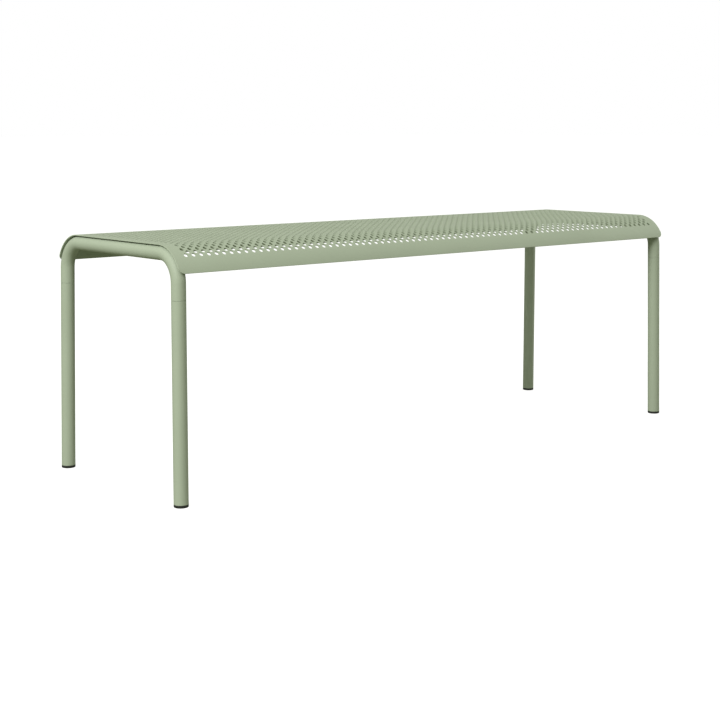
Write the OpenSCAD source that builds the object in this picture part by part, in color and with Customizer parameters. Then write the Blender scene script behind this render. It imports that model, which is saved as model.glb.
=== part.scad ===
// Backless bench. A steel sheet with rolled-down long edges is welded onto two bent-tube end
// frames, and four lower legs screw into the stubs of those frames. The sheet's many small
// holes are left out here, and it is drawn as plain sheet.
// Millimetres, +Z up, X along the bench, origin on the floor under the middle of the seat.

/* [Seat] */
// Length of the seat sheet
seat_l = 1300; // [900:10:1800]
// Height of the seat's top above the floor
seat_h = 450; // [370:1:560]
// Thickness of the sheet
sheet_t = 2; // [1.5:0.1:3]
// Flat width between the two rolled edges
flat_w = 282; // [200:1:420]
// Outside radius of a rolled edge
roll_r = 71; // [58:1:90]
// Angle that the front rolled edge turns down from the flat
front_roll = 70.7; // [55:0.1:85]
// Angle that the back rolled edge turns down from the flat, which hangs a little lower
back_roll = 75; // [55:0.1:85]
// Corner radius at the ends of a rolled edge
corner_r = 12; // [3:0.5:14]

/* [End frames] */
// Outside diameter of the tube
tube_d = 26; // [20:0.5:32]
// Wall of the tube
tube_wall = 2; // [1.5:0.1:3]
// Fine gap between the underside of the sheet and the tube, bridged by the welds
seat_gap = 1.2; // [0:0.1:1.5]
// How far the sheet reaches past the axis of the tube under it
end_reach = 9.2; // [2:0.1:12]
// Room between the tube's bend and the rolled edge, where they are furthest apart
bend_room = 6; // [2:0.5:12]
// How far inside the start of the roll the tube starts to bend
bend_setback = 0.7; // [0:0.1:10]
// Straight length of a stub below its bend
stub_l = 28.8; // [26:0.1:60]
// How much the radius of a stub grows when its end is sized round after bending
stub_sizing = 0.02; // [0.01:0.01:0.1]
// Outward lean of each leg
leg_splay = 0.63; // [0:0.01:3]

/* [Welds] */
// Length of one weld fillet under the sheet
weld_l = 40; // [20:1:60]
// Number of weld fillets along each tube
weld_count = 4; // [2:1:5]
// Width of a weld fillet on the sheet, from its root to its toe
weld_w = 6; // [4:0.5:8]
// How far the tube has curved away from its top where the weld's root is
weld_root = 0.35; // [0.2:0.05:0.6]

/* [Screw-in legs] */
// Shadow gap between a stub and its lower leg
joint_gap = 0.25; // [0.1:0.05:1]
// Length of the threaded insert in a stub
insert_l = 24; // [16:1:26]
// Length of the plug in the top of a lower leg
plug_l = 20; // [14:1:40]
// Diameter of the leg stud
stud_d = 12; // [8:0.5:15]
// How far the stud stops short of the ends of its insert and plug
stud_short = 2; // [1:0.5:5]
// Radial clearance of the turned pieces in the tube
tube_fit = 0.1; // [0.05:0.05:0.3]
// Radial clearance of the stud in its threads
thread_fit = 0.05; // [0.05:0.05:0.2]

/* [Glides] */
// Height of a glide's foot below the tube
glide_h = 5; // [3:0.5:10]
// Depth of a glide's stem in the tube
stem_l = 18; // [10:1:30]
// Wall of a glide's stem
stem_wall = 3; // [2:0.5:5]

/* [Hidden] */
$fn = 72;
green = [0.66, 0.71, 0.60];
weld_green = [0.62, 0.67, 0.56];
black = [0.09, 0.09, 0.09];
zinc = [0.70, 0.71, 0.73];
left = -1;
right = 1;
front = -1;
back = 1;

// The rolled edges turn about lines that run along the bench.
roll_y = flat_w / 2;
roll_z = seat_h - roll_r;

// The tube follows the inside of the sheet, with its bend ending at the knee.
tube_r = tube_d / 2;
bore_r = tube_r - tube_wall;
turned_r = bore_r - tube_fit;
frame_x = seat_l / 2 - end_reach;
rail_z = seat_h - sheet_t - seat_gap - tube_r;
bend_r = roll_r - sheet_t - tube_r - bend_room;
bend_y = roll_y - bend_setback;
bend_z = rail_z - bend_r;
knee_y = bend_y + bend_r * cos(leg_splay);
knee_z = bend_z + bend_r * sin(leg_splay);

// Lengths on a leg's own axis, measured down from the knee.
leg_drop = knee_z / cos(leg_splay);
joint_at = stub_l + joint_gap;
cut_over = 2 * tube_d;

// ---- Shared helpers ----

// Lays a profile drawn in Y and Z along the bench, centred on X = 0.
module along_x(length) {
    rotate([90, 0, 90]) translate([0, 0, -length / 2]) linear_extrude(length) children();
}

module ring(r_out, r_in) {
    difference() {
        circle(r_out);
        circle(r_in);
    }
}

// Puts a piece on one leg's axis: z = 0 is the knee and the floor lies towards -Z.
module on_leg(end, side) {
    translate([end * frame_x, side * knee_y, knee_z]) rotate([side * leg_splay, 0, 0]) children();
}

// A level block that reaches from one height to another around one leg.
module level_block(end, side, low, high) {
    translate([end * frame_x - cut_over, side * knee_y - cut_over, low])
        cube([2 * cut_over, 2 * cut_over, high - low]);
}

// ---- Seat ----

function roll_angle(side) = side == front ? front_roll : back_roll;

// One rolled edge's share of the sheet's section, in Y and Z about the roll's own centre.
module roll_section(angle) {
    reach = 2 * roll_r;
    intersection() {
        ring(roll_r, roll_r - sheet_t);
        polygon([[0, 0], [0, reach], [reach, reach], [reach * sin(angle), reach * cos(angle)]]);
    }
}

module sheet_section() {
    translate([-roll_y, seat_h - sheet_t]) square([flat_w, sheet_t]);
    for (side = [front, back])
        mirror([side == front ? 1 : 0, 0]) translate([roll_y, roll_z]) roll_section(roll_angle(side));
}

// What a rounded corner takes off the sheet, laid on the foot of a rolled edge.
module corner_cut() {
    translate([0, 0, -corner_r]) linear_extrude(2 * corner_r) difference() {
        translate([-corner_r, -corner_r]) square(2 * corner_r);
        translate([-corner_r, -corner_r]) circle(corner_r);
    }
}

module seat_panel() {
    color(green) difference() {
        along_x(seat_l) sheet_section();
        for (end = [0, 1], side = [front, back])
            mirror([end, 0, 0]) mirror([0, side == front ? 1 : 0, 0])
                translate([seat_l / 2, roll_y, roll_z]) rotate([-roll_angle(side), 0, 0])
                    translate([0, 0, roll_r]) corner_cut();
    }
}

// ---- End frames ----

// The whole run of an inverted U at one radius, going past the ends of its stubs if asked.
module frame_run(end, r, past = 0) {
    translate([end * frame_x, bend_y, rail_z]) rotate([90, 0, 0]) cylinder(h = 2 * bend_y, r = r);
    for (side = [front, back])
        translate([end * frame_x, side * bend_y, bend_z]) rotate([90, 0, side * 90]) {
            rotate_extrude(start = leg_splay, angle = 90 - leg_splay) translate([bend_r, 0]) circle(r);
            rotate([0, 0, leg_splay]) translate([bend_r, 0, 0]) rotate([90, 0, 0])
                cylinder(h = stub_l + past, r = r + stub_sizing);
        }
}

module end_frame(end) {
    color(green) difference() {
        frame_run(end, tube_r);
        frame_run(end, bore_r, past = stub_l);
    }
}

// ---- Welds between a tube and the underside of the sheet ----

// The weld's section in X and Z, about the tube's axis, on the side of the bench's middle.
module weld_section() {
    underside = tube_r + seat_gap;
    root_x = sqrt(tube_r ^ 2 - (tube_r - weld_root) ^ 2);
    toe_x = root_x + weld_w;
    toe_turn = atan(toe_x / underside);
    difference() {
        polygon([[root_x, underside], [toe_x, underside],
                 [(tube_r - sheet_t) * tan(toe_turn), tube_r - sheet_t], [root_x, tube_r - sheet_t]]);
        circle(tube_r);
    }
}

module seat_welds(end) {
    step = 2 * bend_y / weld_count;
    color(weld_green) for (i = [0 : weld_count - 1])
        translate([end * frame_x, (i + 0.5) * step - bend_y, rail_z])
            mirror([end > 0 ? 1 : 0, 0, 0]) rotate([90, 0, 0])
                translate([0, 0, -weld_l / 2]) linear_extrude(weld_l) weld_section();
}

// ---- Leg joint ----

module leg_insert(end, side) {
    color(zinc) on_leg(end, side) translate([0, 0, -stub_l])
        linear_extrude(insert_l) ring(turned_r, stud_d / 2 + thread_fit);
}

module leg_plug(end, side) {
    color(zinc) on_leg(end, side) translate([0, 0, -stub_l - plug_l])
        linear_extrude(plug_l) ring(turned_r, stud_d / 2 + thread_fit);
}

module leg_stud(end, side) {
    color(zinc) on_leg(end, side) translate([0, 0, -stub_l - plug_l + stud_short])
        cylinder(h = plug_l + insert_l - 2 * stud_short, d = stud_d);
}

// ---- Lower legs and glides ----

module lower_leg(end, side) {
    color(green) difference() {
        on_leg(end, side) translate([0, 0, -leg_drop]) linear_extrude(leg_drop - joint_at) ring(tube_r, bore_r);
        level_block(end, side, -cut_over, glide_h);
    }
}

module glide(end, side) {
    color(black) {
        intersection() {
            on_leg(end, side) translate([0, 0, -leg_drop - glide_h]) cylinder(h = 3 * glide_h, r = tube_r);
            level_block(end, side, 0, glide_h);
        }
        glide_stem(end, side);
    }
}

module glide_stem(end, side) {
    difference() {
        on_leg(end, side) translate([0, 0, -leg_drop])
            linear_extrude(glide_h + stem_l) ring(turned_r, turned_r - stem_wall);
        level_block(end, side, -cut_over, glide_h);
    }
}

seat_panel();
end_frame(left);  // end_frame_left
end_frame(right);  // end_frame_right
seat_welds(left);  // seat_welds_left
seat_welds(right);  // seat_welds_right
leg_insert(left, front);  // leg_insert_front_left
leg_insert(right, front);  // leg_insert_front_right
leg_insert(left, back);  // leg_insert_back_left
leg_insert(right, back);  // leg_insert_back_right
leg_stud(left, front);  // leg_stud_front_left
leg_stud(right, front);  // leg_stud_front_right
leg_stud(left, back);  // leg_stud_back_left
leg_stud(right, back);  // leg_stud_back_right
leg_plug(left, front);  // leg_plug_front_left
leg_plug(right, front);  // leg_plug_front_right
leg_plug(left, back);  // leg_plug_back_left
leg_plug(right, back);  // leg_plug_back_right
lower_leg(left, front);  // lower_leg_front_left
lower_leg(right, front);  // lower_leg_front_right
lower_leg(left, back);  // lower_leg_back_left
lower_leg(right, back);  // lower_leg_back_right
glide(left, front);  // glide_front_left
glide(right, front);  // glide_front_right
glide(left, back);  // glide_back_left
glide(right, back);  // glide_back_right
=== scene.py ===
"""The visual model of the backless bench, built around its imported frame.

Metres, +X along the bench, +Z up, the floor at z = 0. Places come from the frame's boxes.
The sheet is drawn on a flat pattern first: u runs along the bench, s runs across it along the
sheet's middle surface, and n is the height off that surface.
"""
import math

import bpy
import numpy as np
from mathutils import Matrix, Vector


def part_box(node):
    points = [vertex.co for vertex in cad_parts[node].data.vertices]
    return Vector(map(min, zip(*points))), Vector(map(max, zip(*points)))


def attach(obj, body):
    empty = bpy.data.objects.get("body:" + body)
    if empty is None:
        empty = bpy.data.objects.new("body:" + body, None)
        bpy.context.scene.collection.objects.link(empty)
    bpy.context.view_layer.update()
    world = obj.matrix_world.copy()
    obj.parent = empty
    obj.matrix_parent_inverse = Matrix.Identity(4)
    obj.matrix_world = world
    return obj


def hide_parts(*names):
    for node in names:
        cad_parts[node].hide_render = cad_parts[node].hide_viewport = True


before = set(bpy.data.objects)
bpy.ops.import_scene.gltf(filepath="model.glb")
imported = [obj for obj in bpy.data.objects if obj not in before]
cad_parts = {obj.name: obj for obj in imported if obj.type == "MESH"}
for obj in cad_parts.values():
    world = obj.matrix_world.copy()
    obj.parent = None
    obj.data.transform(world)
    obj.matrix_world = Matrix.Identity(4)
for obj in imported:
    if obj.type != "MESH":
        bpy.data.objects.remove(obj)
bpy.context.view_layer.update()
MM = 0.001

# ---- Driving sizes ----

SHEET_T = 2 * MM
ROLL_R = 71 * MM
SHEET_CORNER = 12 * MM
CORNER_STEPS = 8
MARGIN_STEPS = 3
SHEET_EDGE = 0.5 * MM
HOLE_D = 8 * MM
LATTICE = 8 * MM
LAST_ROW = 24
LAST_COLUMN = 78
HOLE_SIDES = 16

TUBE_R = 13 * MM
TUBE_WALL = 2 * MM
BEND_R = 50 * MM
BEND_SETBACK = 0.7 * MM
STUB_L = 28.8 * MM
SEAT_GAP = 1.2 * MM
JOINT_GAP = 0.25 * MM
LEG_SPLAY = math.radians(0.63)
TUBE_EDGE = 0.3 * MM
TUBE_SIDES = 64
BEND_STEPS = 28

GLIDE_H = 5 * MM
GLIDE_SOLE_R = 1.3 * MM
GLIDE_RIM_R = 0.4 * MM
GLIDE_STEM_WALL = 3 * MM
GLIDE_LEAD_IN, GLIDE_LEAD_DOWN = 1 * MM, 1.2 * MM
GLIDE_CREASE = 0.2 * MM
GLIDE_GUARD = 0.3 * MM
TUBE_FIT = 0.12 * MM

WELD_COUNT = 4
WELD_STEPS = 96
WELD_SIDES = 9
WELD_TAPER = 3 * MM
WELD_RIPPLE = 2.4 * MM
WELD_RIPPLE_DEPTH = 0.08
WELD_END_SWELL = 0.02
WELD_BULGE = 0.16

# ---- Places read from the frame ----

sheet_low, sheet_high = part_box("seat_panel")
SHEET_L = sheet_high.x - sheet_low.x
SEAT_TOP = sheet_high.z
ROLL_Z = SEAT_TOP - ROLL_R
MID_R = ROLL_R - SHEET_T / 2
BACK_ROLL = math.acos((sheet_low.z - ROLL_Z) / (ROLL_R - SHEET_T))
ROLL_Y = sheet_high.y - ROLL_R * math.sin(BACK_ROLL)
FRONT_ROLL = math.asin((-sheet_low.y - ROLL_Y) / ROLL_R)
BACK_S = ROLL_Y + MID_R * BACK_ROLL
FRONT_S = -ROLL_Y - MID_R * FRONT_ROLL

frame_low, frame_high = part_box("end_frame_right")
FRAME_X = (frame_low.x + frame_high.x) / 2
RAIL_Z = SEAT_TOP - SHEET_T - SEAT_GAP - TUBE_R
BEND_Y = ROLL_Y - BEND_SETBACK
KNEE_Y = BEND_Y + BEND_R * math.cos(LEG_SPLAY)
KNEE_Z = RAIL_Z - BEND_R + BEND_R * math.sin(LEG_SPLAY)
FOOT_Y = KNEE_Y + KNEE_Z * math.tan(LEG_SPLAY)

ENDS = {"left": -1, "right": 1}
SIDES = {"front": -1, "back": 1}


def leg_names():
    for side in SIDES:
        for end in ENDS:
            yield side, end, f"{side}_{end}"


# ---- Meshes ----

def add_object(name, verts, faces, smooth=True, sharp_degrees=50.0):
    mesh = bpy.data.meshes.new(name)
    mesh.from_pydata([tuple(v) for v in verts], [], faces)
    mesh.update()
    mesh.polygons.foreach_set("use_smooth", [smooth] * len(mesh.polygons))
    if smooth:
        mesh.set_sharp_from_angle(angle=math.radians(sharp_degrees))
    obj = bpy.data.objects.new(name, mesh)
    bpy.context.scene.collection.objects.link(obj)
    return obj


def take_place(obj, material, slot, *nodes):
    obj.data.materials.append(material)
    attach(obj, "root")
    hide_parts(*nodes)
    return obj


# ---- The perforated sheet ----

class SheetPattern:
    """Collects the sheet's corners as (u, s, n), and its faces with a normal and a map place for
    each corner. A normal is (along u, along s, outward) in the sheet's own directions."""

    def __init__(self):
        self.points, self.faces, self.normals, self.places = [], [], [], []
        self.known = {}

    def point(self, u, s, n):
        self.points.append((u, s, n))
        return len(self.points) - 1

    def shared(self, u, s, n):
        key = (round(u / MM, 4), round(s / MM, 4), round(n / MM, 4))
        if key not in self.known:
            self.known[key] = self.point(u, s, n)
        return self.known[key]

    def face(self, corners, normals, places):
        self.faces.append(corners)
        self.normals.extend(normals)
        self.places.extend(places)

    def skin(self, corners):
        """One face on both skins, from (u, s) corners in any turning order. A corner that is a
        pair of indices is a rim corner that exists already."""
        flat = [c[:2] for c in corners]
        area = sum(a[0] * b[1] - a[1] * b[0] for a, b in zip(flat, flat[1:] + flat[:1]))
        order = corners if area > 0 else corners[::-1]
        for outward in (1, -1):
            ids = [self.rim_or_shared(c, outward) for c in order]
            if outward < 0:
                ids = ids[::-1]
            used = order if outward > 0 else order[::-1]
            self.face(ids, [(0, 0, outward)] * len(ids), [map_place(c[0], c[1], outward) for c in used])

    def rim_or_shared(self, corner, outward):
        if len(corner) == 3:
            return corner[2][0 if outward > 0 else 1]
        return self.shared(corner[0], corner[1], outward * SHEET_T / 2)


MAP_SCALE = 0.96 / 1.3
MAP_MARGIN = 0.02


def map_place(u, s, outward):
    """Both skins lie flat on the map, the underside above the top."""
    lift = 0.0 if outward > 0 else (BACK_S - FRONT_S) * MAP_SCALE + MAP_MARGIN
    return (MAP_MARGIN + (u + SHEET_L / 2) * MAP_SCALE,
            MAP_MARGIN + (s - FRONT_S) * MAP_SCALE + lift)


def hole_centres():
    """Every second row is offset by half the distance between holes."""
    for row in range(-LAST_ROW, LAST_ROW + 1):
        first = -LAST_COLUMN + (LAST_ROW - row) % 2
        for column in range(first, LAST_COLUMN + 1, 2):
            yield column, row


def draw_hole(pattern, column, row):
    """A round hole in the middle of its diamond of sheet, with its wall."""
    u0, s0, r = column * LATTICE, row * LATTICE, HOLE_D / 2
    rim = []
    for k in range(HOLE_SIDES):
        turn = 2 * math.pi * k / HOLE_SIDES
        c, q = math.cos(turn), math.sin(turn)
        pair = (pattern.point(u0 + r * c, s0 + r * q, SHEET_T / 2),
                pattern.point(u0 + r * c, s0 + r * q, -SHEET_T / 2))
        rim.append((u0 + r * c, s0 + r * q, pair, c, q))
    tips = [(u0 + LATTICE, s0), (u0, s0 + LATTICE), (u0 - LATTICE, s0), (u0, s0 - LATTICE)]
    quarter = HOLE_SIDES // 4
    for t in range(4):
        here, there = tips[t], tips[(t + 1) % 4]
        ring = [rim[(t * quarter + k) % HOLE_SIDES][:3] for k in range(quarter + 1)]
        half = quarter // 2
        for k in range(half):
            pattern.skin([here, ring[k + 1], ring[k]])
            pattern.skin([there, ring[half + k + 1], ring[half + k]])
        pattern.skin([here, there, ring[half]])
    shrink = 0.6
    for k in range(HOLE_SIDES):
        a, b = rim[k], rim[(k + 1) % HOLE_SIDES]
        ids = [a[2][0], b[2][0], b[2][1], a[2][1]]
        inward = [(-a[3], -a[4], 0), (-b[3], -b[4], 0), (-b[3], -b[4], 0), (-a[3], -a[4], 0)]
        places = [map_place(u0 + r * g * e[3], s0 + r * g * e[4], 1)
                  for e, g in ((a, 1), (b, 1), (b, shrink), (a, shrink))]
        pattern.face(ids, inward, places)


def steps_out(start, turn, rim):
    """Places from the field of holes out to the start of a corner, and to the rounded edge."""
    return [start + (turn - start) * k / MARGIN_STEPS for k in range(MARGIN_STEPS + 1)] + [rim]


def draw_plain_margin(pattern):
    """The plain sheet around the field of holes, out to the start of the rounded edge."""
    u_field, s_field = (LAST_COLUMN + 1) * LATTICE, (LAST_ROW + 1) * LATTICE
    u_turn, u_rim = SHEET_L / 2 - SHEET_CORNER, SHEET_L / 2 - SHEET_EDGE
    feet = {e: steps_out(e * s_field, s - e * SHEET_CORNER, s - e * SHEET_EDGE)
            for e, s in ((-1, FRONT_S), (1, BACK_S))}
    middle = [b * LATTICE for b in range(-LAST_ROW - 1, LAST_ROW + 2)]
    rows = feet[-1][:0:-1] + middle + feet[1][1:]
    columns = [a * LATTICE for a in range(-LAST_COLUMN - 1, LAST_COLUMN + 2)]
    for e in (1, -1):
        # the gaps between the outer diamonds and the straight sides of the field
        for a in range(-LAST_COLUMN, LAST_COLUMN + 1):
            if (a + LAST_ROW) % 2:
                tip = (a * LATTICE, e * LAST_ROW * LATTICE)
                for d in (1, -1):
                    pattern.skin([tip, ((a + d) * LATTICE, e * s_field), (a * LATTICE, e * s_field)])
        for b in range(-LAST_ROW, LAST_ROW + 1):
            if (b + LAST_COLUMN) % 2:
                tip = (e * LAST_COLUMN * LATTICE, b * LATTICE)
                for d in (1, -1):
                    pattern.skin([tip, (e * u_field, (b + d) * LATTICE), (e * u_field, b * LATTICE)])
        for f in (1, -1):
            pattern.skin([(e * u_field, f * LAST_ROW * LATTICE), (e * u_field, f * s_field),
                          (e * LAST_COLUMN * LATTICE, f * s_field)])
        for a, b in zip(columns, columns[1:]):
            for s, t in zip(feet[e], feet[e][1:]):
                pattern.skin([(a, s), (b, s), (b, t), (a, t)])
        for s, t in zip(rows, rows[1:]):
            pattern.skin([(e * u_field, s), (e * u_turn, s), (e * u_turn, t), (e * u_field, t)])
        for s, t in zip(rows[1:-1], rows[2:-1]):
            pattern.skin([(e * u_turn, s), (e * u_rim, s), (e * u_rim, t), (e * u_turn, t)])
    return columns, rows


def border(columns, rows):
    """The outline where the flat skins end, anticlockwise: each point, its outward direction, and
    the centre of the corner it is on, if any."""
    u_rim, u_turn = SHEET_L / 2 - SHEET_EDGE, SHEET_L / 2 - SHEET_CORNER
    r = SHEET_CORNER - SHEET_EDGE
    quarter = [math.pi / 2 * k / CORNER_STEPS for k in range(CORNER_STEPS + 1)]

    def corner(e, f, start):
        u, s = e * u_turn, (BACK_S if f > 0 else FRONT_S) - f * SHEET_CORNER
        turns = [(math.cos(start + t), math.sin(start + t)) for t in quarter]
        return [(u + r * c, s + r * q, c, q, (u, s)) for c, q in turns]

    inner = rows[2:-2]
    line = [(u_rim, s, 1, 0, None) for s in inner]
    line += corner(1, 1, 0)
    line += [(u, rows[-1], 0, 1, None) for u in reversed(columns)]
    line += corner(-1, 1, math.pi / 2)
    line += [(-u_rim, s, -1, 0, None) for s in reversed(inner)]
    line += corner(-1, -1, math.pi)
    line += [(u, rows[0], 0, -1, None) for u in columns]
    return line + corner(1, -1, 1.5 * math.pi)


def draw_edge(pattern, line):
    """The rounded corners' fans and the sheet's rounded edge, all the way round."""
    for (u, s, _, _, centre), (v, t, _, _, other) in zip(line, line[1:] + line[:1]):
        if centre and centre == other:
            pattern.skin([centre, (u, s), (v, t)])
    half, e, h = SHEET_T / 2, SHEET_EDGE, math.sqrt(0.5)
    # each step round the edge: how far out, how high, and its normal outward and upward
    section = [(0, half, 0, 1), (e * h, half - e * (1 - h), h, h), (e, half - e, 1, 0),
               (e, e - half, 1, 0), (e * h, e * (1 - h) - half, h, -h), (0, -half, 0, -1)]
    strip = [0.0]
    for (o, n, _, _), (p, m, _, _) in zip(section, section[1:]):
        strip.append(strip[-1] + math.hypot(p - o, m - n))

    def corner(k, j):
        u, s, a, b, _ = line[k % len(line)]
        out, n, along, up = section[j]
        out_id = pattern.shared(u + a * out, s + b * out, n)
        return out_id, (a * along, b * along, up), map_place(u + a * strip[j], s + b * strip[j], 1)

    for k in range(len(line)):
        for j in range(len(section) - 1):
            four = [corner(k, j), corner(k, j + 1), corner(k + 1, j + 1), corner(k + 1, j)]
            pattern.face(*[[f[i] for f in four] for i in range(3)])


def wrap(points):
    """Where pattern points lie on the bench, with the directions along s and outward there."""
    p = np.array(points, float)
    side = np.where(p[:, 1] < 0, -1.0, 1.0)
    turn = np.maximum(np.abs(p[:, 1]) - ROLL_Y, 0.0) / MID_R
    flat_y = np.minimum(np.abs(p[:, 1]), ROLL_Y)
    reach = MID_R + p[:, 2]
    y = side * (flat_y + reach * np.sin(turn))
    z = ROLL_Z + reach * np.cos(turn)
    zero = np.zeros(len(p))
    along = np.stack([zero, np.cos(turn), -side * np.sin(turn)], 1)
    out = np.stack([zero, side * np.sin(turn), np.cos(turn)], 1)
    return np.stack([p[:, 0], y, z], 1), along, out


def seat_sheet():
    pattern = SheetPattern()
    for column, row in hole_centres():
        draw_hole(pattern, column, row)
    draw_edge(pattern, border(*draw_plain_margin(pattern)))
    places, along, out = wrap(pattern.points)
    obj = add_object("seat_sheet", places, pattern.faces, sharp_degrees=180.0)
    corners = np.array([i for f in pattern.faces for i in f])
    n = np.array(pattern.normals, float)
    normals = n[:, 1:2] * along[corners] + n[:, 2:3] * out[corners]
    normals[:, 0] += n[:, 0]
    obj.data.normals_split_custom_set(normals / np.linalg.norm(normals, axis=1, keepdims=True))
    uv = obj.data.uv_layers.new(name="OFBake")
    uv.data.foreach_set("uv", np.array(pattern.places, np.float32).ravel())
    return obj


# ---- Tubes ----

def ring_points(centre, across, r):
    """A ring about a centre. One of its axes is X and the other is given."""
    turns = [2 * math.pi * k / TUBE_SIDES for k in range(TUBE_SIDES)]
    return [centre + Vector((r * math.cos(t), 0, 0)) + across * (r * math.sin(t)) for t in turns]


def skin_rings(rings, closed):
    """Faces between rings of equal size, and from the last to the first if closed."""
    n = len(rings[0])
    verts = [p for ring in rings for p in ring]
    count = len(rings)
    faces = []
    for i in range(count if closed else count - 1):
        j = (i + 1) % count
        for k in range(n):
            m = (k + 1) % n
            faces.append([i * n + k, i * n + m, j * n + m, j * n + k])
    return verts, faces


def hollow_tube(name, stations, r):
    """A tube along stations, each (centre, across, direction of travel), with eased ends."""
    bore, soft, q = r - TUBE_WALL, TUBE_EDGE, math.sqrt(0.5)

    def cap(station, inward):
        """Rings at one end, from the outer wall to the bore's wall. inward is +1 at the start."""
        centre, across, travel = station
        step = travel * inward
        return [(centre + step * (2 * soft), across, r),
                (centre + step * soft, across, r),
                (centre + step * (soft * (1 - q)), across, r - soft * (1 - q)),
                (centre, across, r - soft),
                (centre, across, bore + soft / 2),
                (centre + step * (soft / 2), across, bore),
                (centre + step * (2 * soft), across, bore)]

    outer = [(centre, across, r) for centre, across, _ in stations[1:-1]]
    inner = [(centre, across, bore) for centre, across, _ in stations[1:-1]]
    # the rings run forward along the bore and back along the outer wall, so that faces turn outward
    rings = inner + cap(stations[-1], -1)[::-1] + outer[::-1] + cap(stations[0], 1)
    return add_object(name, *skin_rings([ring_points(*g) for g in rings], closed=True))


def frame_stations(end):
    """Along an inverted U from its front stub to its back stub."""
    low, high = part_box(f"end_frame_{end}")
    x, bend_z = (low.x + high.x) / 2, high.z - TUBE_R - BEND_R
    c, s = math.cos(LEG_SPLAY), math.sin(LEG_SPLAY)
    upright = math.pi / 2 - LEG_SPLAY
    stations = []
    for side in (-1, 1):
        stub_end = Vector((x, side * (KNEE_Y + STUB_L * s), bend_z + BEND_R * s - STUB_L * c))
        half = [(stub_end, upright)]
        for k in range(BEND_STEPS + 1):
            turn = upright * (1 - k / BEND_STEPS)
            y, z = BEND_Y + BEND_R * math.sin(turn), bend_z + BEND_R * math.cos(turn)
            half.append((Vector((x, side * y, z)), turn))
        half = [(p, Vector((0, side * math.sin(t), math.cos(t))),
                 Vector((0, -side * math.cos(t), math.sin(t)))) for p, t in half]
        if side > 0:
            half = [(p, across, -travel) for p, across, travel in reversed(half)]
        stations += half
    return stations


def leg_stations(side, end):
    """Down a lower leg's axis, from under the joint to the top of its glide."""
    y_sign = SIDES[side]
    c, s = math.cos(LEG_SPLAY), math.sin(LEG_SPLAY)
    down = Vector((0, y_sign * s, -c))
    knee = Vector((ENDS[end] * FRAME_X, y_sign * KNEE_Y, KNEE_Z))
    top = knee + down * (STUB_L + JOINT_GAP)
    foot = knee + down * ((KNEE_Z - GLIDE_H) / c)
    square = Vector((0, c, y_sign * s))
    level = Vector((0, 1, 0))
    near_top = top + down * (4 * TUBE_EDGE)
    near_foot = foot - down * (4 * TUBE_EDGE)
    return [(top, square, down), (near_top, square, down), (near_foot, level, down), (foot, level, down)]


# ---- Glides ----

def glide(side, end):
    """A moulded foot with an eased sole, and its hollow stem up inside the tube."""
    stem_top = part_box(f"glide_{side}_{end}")[1].z
    x = ENDS[end] * FRAME_X
    lean = SIDES[side] * math.tan(LEG_SPLAY)
    foot_y = SIDES[side] * FOOT_Y
    r, stem = TUBE_R, TUBE_R - TUBE_WALL - TUBE_FIT
    bore = stem - GLIDE_STEM_WALL
    sole, rim, q = GLIDE_SOLE_R, GLIDE_RIM_R, math.sqrt(0.5)
    flat_rings = [(0.3 * r, 0), (0.6 * r, 0)]
    disc = [(r - sole - GLIDE_GUARD, 0), (r - sole, 0), (r - sole * (1 - q), sole * (1 - q)), (r, sole),
            (r, sole + GLIDE_GUARD), (r, GLIDE_H - rim - GLIDE_GUARD), (r, GLIDE_H - rim),
            (r - rim * (1 - q), GLIDE_H - rim * (1 - q)), (r - rim, GLIDE_H)]
    stem_wall = [(stem + GLIDE_CREASE, GLIDE_H), (stem, GLIDE_H + GLIDE_CREASE),
                 (stem, stem_top - GLIDE_LEAD_DOWN), (stem - GLIDE_LEAD_IN, stem_top),
                 (bore, stem_top), (bore, GLIDE_H + GLIDE_CREASE), (bore - GLIDE_CREASE, GLIDE_H)]
    profile = flat_rings + disc + stem_wall + [(0.3 * r, GLIDE_H)]
    rings = []
    for radius, z in profile:
        centre = Vector((x, foot_y - lean * z, z))
        rings.append(ring_points(centre, Vector((0, 1, 0)), radius))
    verts, faces = skin_rings(rings, closed=False)
    verts += [Vector((x, foot_y, 0)), Vector((x, foot_y - lean * GLIDE_H, GLIDE_H))]
    last = (len(rings) - 1) * TUBE_SIDES
    for k in range(TUBE_SIDES):
        m = (k + 1) % TUBE_SIDES
        faces.append([len(verts) - 2, m, k])
        faces.append([len(verts) - 1, last + k, last + m])
    return add_object(f"glide_foot_{side}_{end}", verts, faces)


# ---- Welds ----

def bead_section(root_x, toe_x, size):
    """One section of a fillet at a share of its full size, in the rail's frame: x is the distance in
    from the rail's axis and y the height above it. It runs from the sheet down to the tube, and its
    last point is the root between them."""
    underside = TUBE_R + SEAT_GAP
    root_turn, toe_turn = math.asin(root_x / TUBE_R), math.atan(toe_x / underside)
    on_tube = root_turn + (toe_turn - root_turn) * size
    a = Vector((root_x + (toe_x - root_x) * size, underside))
    b = Vector((TUBE_R * math.sin(on_tube), TUBE_R * math.cos(on_tube)))
    bulge = (a - b).orthogonal().normalized() * (a - b).length * WELD_BULGE
    if bulge.x < 0:
        bulge = -bulge
    points = []
    for j in range(WELD_SIDES):
        t = j / (WELD_SIDES - 1)
        p = a.lerp(b, t) + bulge * math.sin(math.pi * t)
        points.append((p.x, min(p.y, underside)))
    return points + [(root_x, math.sqrt(TUBE_R ** 2 - root_x ** 2))]


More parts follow.
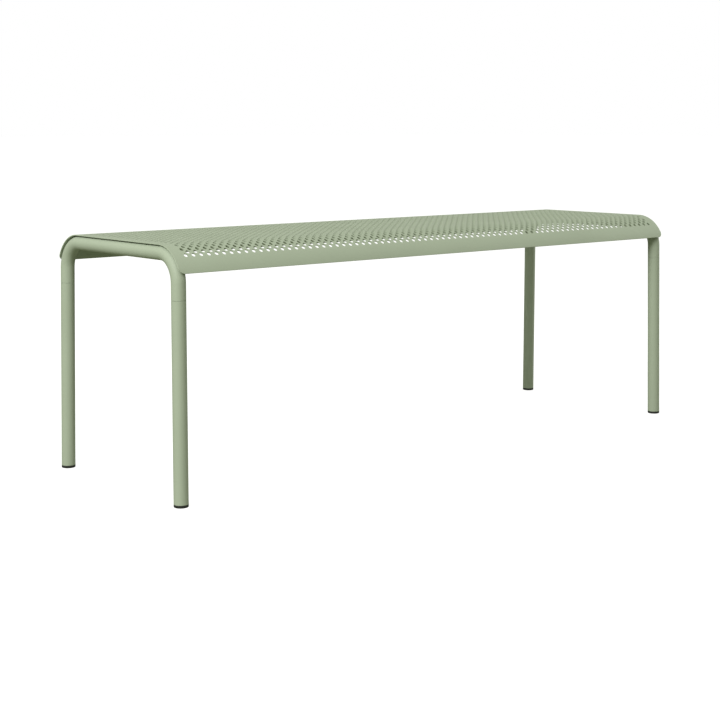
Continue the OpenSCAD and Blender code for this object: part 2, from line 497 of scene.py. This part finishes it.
def weld_beads(end):
    """Fillets laid in short runs along the rail, each a row of ripples that tapers at both ends."""
    low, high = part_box(f"seat_welds_{end}")
    sign = ENDS[end]
    rail_x = sign * FRAME_X
    root_x, toe_x = sorted((abs(low.x - rail_x), abs(high.x - rail_x)))
    pitch = 2 * BEND_Y / WELD_COUNT
    length = high.y - low.y - pitch * (WELD_COUNT - 1)
    n = WELD_SIDES + 1
    verts, faces = [], []
    for i in range(WELD_COUNT):
        middle = (i + 0.5) * pitch - BEND_Y
        start = len(verts)
        for k in range(WELD_STEPS + 1):
            y = length * (k / WELD_STEPS - 0.5)
            past = max(abs(y) - length / 2 + WELD_TAPER, 0) / WELD_TAPER
            swell = math.sqrt(max(1 - past * past, WELD_END_SWELL))
            ripple = 1 - WELD_RIPPLE_DEPTH * (1 - abs(math.cos(math.pi * y / WELD_RIPPLE)))
            for x, z in bead_section(root_x, toe_x, swell * ripple):
                verts.append(Vector((rail_x - sign * x, middle + y, RAIL_Z + z)))
        for k in range(WELD_STEPS):
            p, q = start + k * n, start + (k + 1) * n
            for j in range(n):
                m = (j + 1) % n
                face = [p + j, p + m, q + m, q + j]
                faces.append(face if sign < 0 else face[::-1])
        front = [start + j for j in range(n)]
        back = [start + WELD_STEPS * n + j for j in range(n)]
        faces += [front[::-1], back] if sign < 0 else [front, back[::-1]]
    return add_object(f"weld_beads_{end}", verts, faces)


# ---- Materials ----

class Nodes:
    """Short ways to build one material's nodes."""

    def __init__(self, name):
        self.material = bpy.data.materials.new(name)
        self.material.use_nodes = True
        self.tree = self.material.node_tree
        self.shader = self.tree.nodes["Principled BSDF"]
        self.place = self.tree.nodes.new("ShaderNodeTexCoord").outputs["Object"]

    def link(self, a, b):
        self.tree.links.new(a, b)

    def noise(self, scale, detail=2.0, roughness=0.5):
        node = self.tree.nodes.new("ShaderNodeTexNoise")
        node.inputs["Scale"].default_value = scale
        node.inputs["Detail"].default_value = detail
        node.inputs["Roughness"].default_value = roughness
        self.link(self.place, node.inputs["Vector"])
        return node.outputs["Fac"]

    def spread(self, value, low, high):
        node = self.tree.nodes.new("ShaderNodeMapRange")
        node.inputs["From Min"].default_value = 0.3
        node.inputs["From Max"].default_value = 0.7
        node.inputs["To Min"].default_value = low
        node.inputs["To Max"].default_value = high
        self.link(value, node.inputs["Value"])
        return node.outputs["Result"]

    def blend(self, value, first, second):
        node = self.tree.nodes.new("ShaderNodeMix")
        node.data_type = "RGBA"
        self.link(value, node.inputs["Factor"])
        node.inputs["A"].default_value = (*first, 1)
        node.inputs["B"].default_value = (*second, 1)
        return node.outputs["Result"]

    def bump(self, value, strength, distance, under=None):
        node = self.tree.nodes.new("ShaderNodeBump")
        node.inputs["Strength"].default_value = strength
        node.inputs["Distance"].default_value = distance
        self.link(value, node.inputs["Height"])
        if under:
            self.link(under, node.inputs["Normal"])
        return node.outputs["Normal"]

    def set(self, **values):
        for name, value in values.items():
            self.shader.inputs[name.replace("_", " ")].default_value = value


def powder_coat(name, light, dark, ripple):
    """Baked-on powder: a fine orange peel, a slight drift of tone, and an even low sheen."""
    n = Nodes(name)
    tone = n.spread(n.noise(9.0, 3.0), 0.0, 1.0)
    n.link(n.blend(tone, light, dark), n.shader.inputs["Base Color"])
    n.link(n.spread(n.noise(260.0, 2.0), 0.48, 0.6), n.shader.inputs["Roughness"])
    peel = n.bump(n.noise(620.0, 2.0, 0.4), ripple, 0.06 * MM)
    grain = n.bump(n.noise(2600.0, 1.0), 0.5 * ripple, 0.02 * MM, under=peel)
    n.link(grain, n.shader.inputs["Normal"])
    n.set(Specular_IOR_Level=0.32)
    return n.material


def moulded_black():
    n = Nodes("black_plastic_look")
    n.link(n.blend(n.spread(n.noise(40.0), 0.0, 1.0), (0.012, 0.013, 0.012), (0.022, 0.023, 0.022)),
           n.shader.inputs["Base Color"])
    n.link(n.spread(n.noise(500.0), 0.42, 0.6), n.shader.inputs["Roughness"])
    n.link(n.bump(n.noise(1500.0, 2.0), 0.25, 0.05 * MM), n.shader.inputs["Normal"])
    return n.material


def zinc_plate():
    n = Nodes("zinc_look")
    n.link(n.blend(n.spread(n.noise(60.0, 3.0), 0.0, 1.0), (0.52, 0.53, 0.56), (0.62, 0.62, 0.62)),
           n.shader.inputs["Base Color"])
    n.link(n.spread(n.noise(300.0, 3.0), 0.22, 0.4), n.shader.inputs["Roughness"])
    n.link(n.bump(n.noise(900.0, 2.0), 0.2, 0.03 * MM), n.shader.inputs["Normal"])
    n.set(Metallic=1.0)
    return n.material


GREEN_LIGHT = (0.398, 0.456, 0.345)
GREEN_DARK = (0.378, 0.434, 0.327)

# ---- The bench ----

coat = powder_coat("powder_coat_look", GREEN_LIGHT, GREEN_DARK, 0.35)
weld_coat = powder_coat("powder_coat_on_weld", GREEN_LIGHT, GREEN_DARK, 0.8)
plastic = moulded_black()
zinc = zinc_plate()

take_place(seat_sheet(), coat, "powder_coat", "seat_panel")
for end in ENDS:
    tube = hollow_tube(f"frame_tube_{end}", frame_stations(end), TUBE_R)
    take_place(tube, coat, "powder_coat", f"end_frame_{end}")
    take_place(weld_beads(end), weld_coat, "powder_coat", f"seat_welds_{end}")
for side, end, corner in leg_names():
    leg = hollow_tube(f"leg_tube_{corner}", leg_stations(side, end), TUBE_R)
    take_place(leg, coat, "powder_coat", f"lower_leg_{corner}")
    take_place(glide(side, end), plastic, "black_plastic", f"glide_{corner}")
    for piece in ("insert", "stud", "plug"):
        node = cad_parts[f"leg_{piece}_{corner}"]
        node.data.materials.clear()
        node.data.materials.append(zinc)

# ---- Floor, light and camera ----

SKY = 0.53
KEY = 0.92
KEY_SIZE = 3.0
KEY_DISTANCE = 6.0
KEY_TOWARDS = (-0.75, -0.30, 0.58)
SIDE = 0.34
SIDE_SIZE = 1.4
SIDE_DISTANCE = 2.3
SIDE_TOWARDS = (0.93, -0.15, 0.28)
SKY_COLOUR = (0.97, 1.0, 0.87)
FLOOR_REACH = 80.0
FLOOR_GLOW = 0.87
FLOOR_BOUNCE = (0.22, 0.235, 0.16)

LENS = 73.275
LENS_SHIFT = -0.2222
CAMERA_PLACE = (-2.0171, -2.2870, 0.6514)
CAMERA_HEADING, CAMERA_TILT = math.radians(40.372), math.radians(2.856)


def camera_sees(tree, seen, otherwise):
    """A shader output that the camera sees as one shader, and that lights the bench as another."""
    path = tree.nodes.new("ShaderNodeLightPath")
    pick = tree.nodes.new("ShaderNodeMixShader")
    tree.links.new(path.outputs["Is Camera Ray"], pick.inputs["Fac"])
    tree.links.new(otherwise, pick.inputs[1])
    tree.links.new(seen, pick.inputs[2])
    return pick.outputs["Shader"]


def pale_floor():
    """A white floor with a trace of shadow. It sends little light up, like a floor far below."""
    d = FLOOR_REACH
    floor = add_object("studio_floor", [(-d, -d, 0), (d, -d, 0), (d, d, 0), (-d, d, 0)], [[0, 1, 2, 3]],
                       smooth=False)
    n = Nodes("pale_floor")
    n.link(n.blend(n.noise(0.4), (0.36, 0.36, 0.36), (0.34, 0.34, 0.34)), n.shader.inputs["Base Color"])
    n.set(Roughness=0.9, Specular_IOR_Level=0.0, Emission_Strength=FLOOR_GLOW)
    n.shader.inputs["Emission Color"].default_value = (1, 1, 1, 1)
    dim = n.tree.nodes.new("ShaderNodeBsdfDiffuse")
    dim.inputs["Color"].default_value = (*FLOOR_BOUNCE, 1)
    output = n.tree.nodes["Material Output"]
    n.link(camera_sees(n.tree, n.shader.outputs["BSDF"], dim.outputs["BSDF"]), output.inputs["Surface"])
    floor.data.materials.append(n.material)


def studio_light():
    """A soft sky, a large soft light to the left in front, and a weaker one beyond the right end."""
    world = bpy.data.worlds.new("studio")
    bpy.context.scene.world = world
    world.use_nodes = True
    tree = world.node_tree
    seen = tree.nodes.new("ShaderNodeBackground")
    seen.inputs["Color"].default_value = (1, 1, 1, 1)
    fill = tree.nodes["Background"]
    fill.inputs["Color"].default_value = (*SKY_COLOUR, 1)
    fill.inputs["Strength"].default_value = SKY
    shader = camera_sees(tree, seen.outputs["Background"], fill.outputs["Background"])
    tree.links.new(shader, tree.nodes["World Output"].inputs["Surface"])

    soft_light("key", Vector((-FRAME_X, 0, 0.4)), KEY_TOWARDS, KEY_DISTANCE, KEY_SIZE, KEY)
    soft_light("side", Vector((FRAME_X, 0, 0.3)), SIDE_TOWARDS, SIDE_DISTANCE, SIDE_SIZE, SIDE)


def soft_light(name, aim, towards, distance, size, strength):
    """A round soft light. A strength of 1 lights a white surface that faces it to full white."""
    light = bpy.data.lights.new(name, "AREA")
    light.shape = "DISK"
    light.size = size
    light.energy = strength * (math.pi * distance) ** 2
    obj = bpy.data.objects.new(name, light)
    bpy.context.scene.collection.objects.link(obj)
    obj.location = aim + Vector(towards).normalized() * distance
    obj.rotation_euler = Vector(towards).to_track_quat("Z", "Y").to_euler()


def camera():
    cam = bpy.data.cameras.new("camera")
    cam.lens = LENS
    cam.sensor_width = 36.0
    cam.shift_y = LENS_SHIFT
    cam.clip_end = 500.0
    obj = bpy.data.objects.new("camera", cam)
    bpy.context.scene.collection.objects.link(obj)
    obj.location = CAMERA_PLACE
    level = math.cos(CAMERA_TILT)
    forward = Vector((math.sin(CAMERA_HEADING) * level, math.cos(CAMERA_HEADING) * level,
                      -math.sin(CAMERA_TILT)))
    obj.rotation_euler = forward.to_track_quat("-Z", "Y").to_euler()
    bpy.context.scene.camera = obj


pale_floor()
studio_light()
camera()
bpy.context.scene.view_settings.view_transform = "Standard"
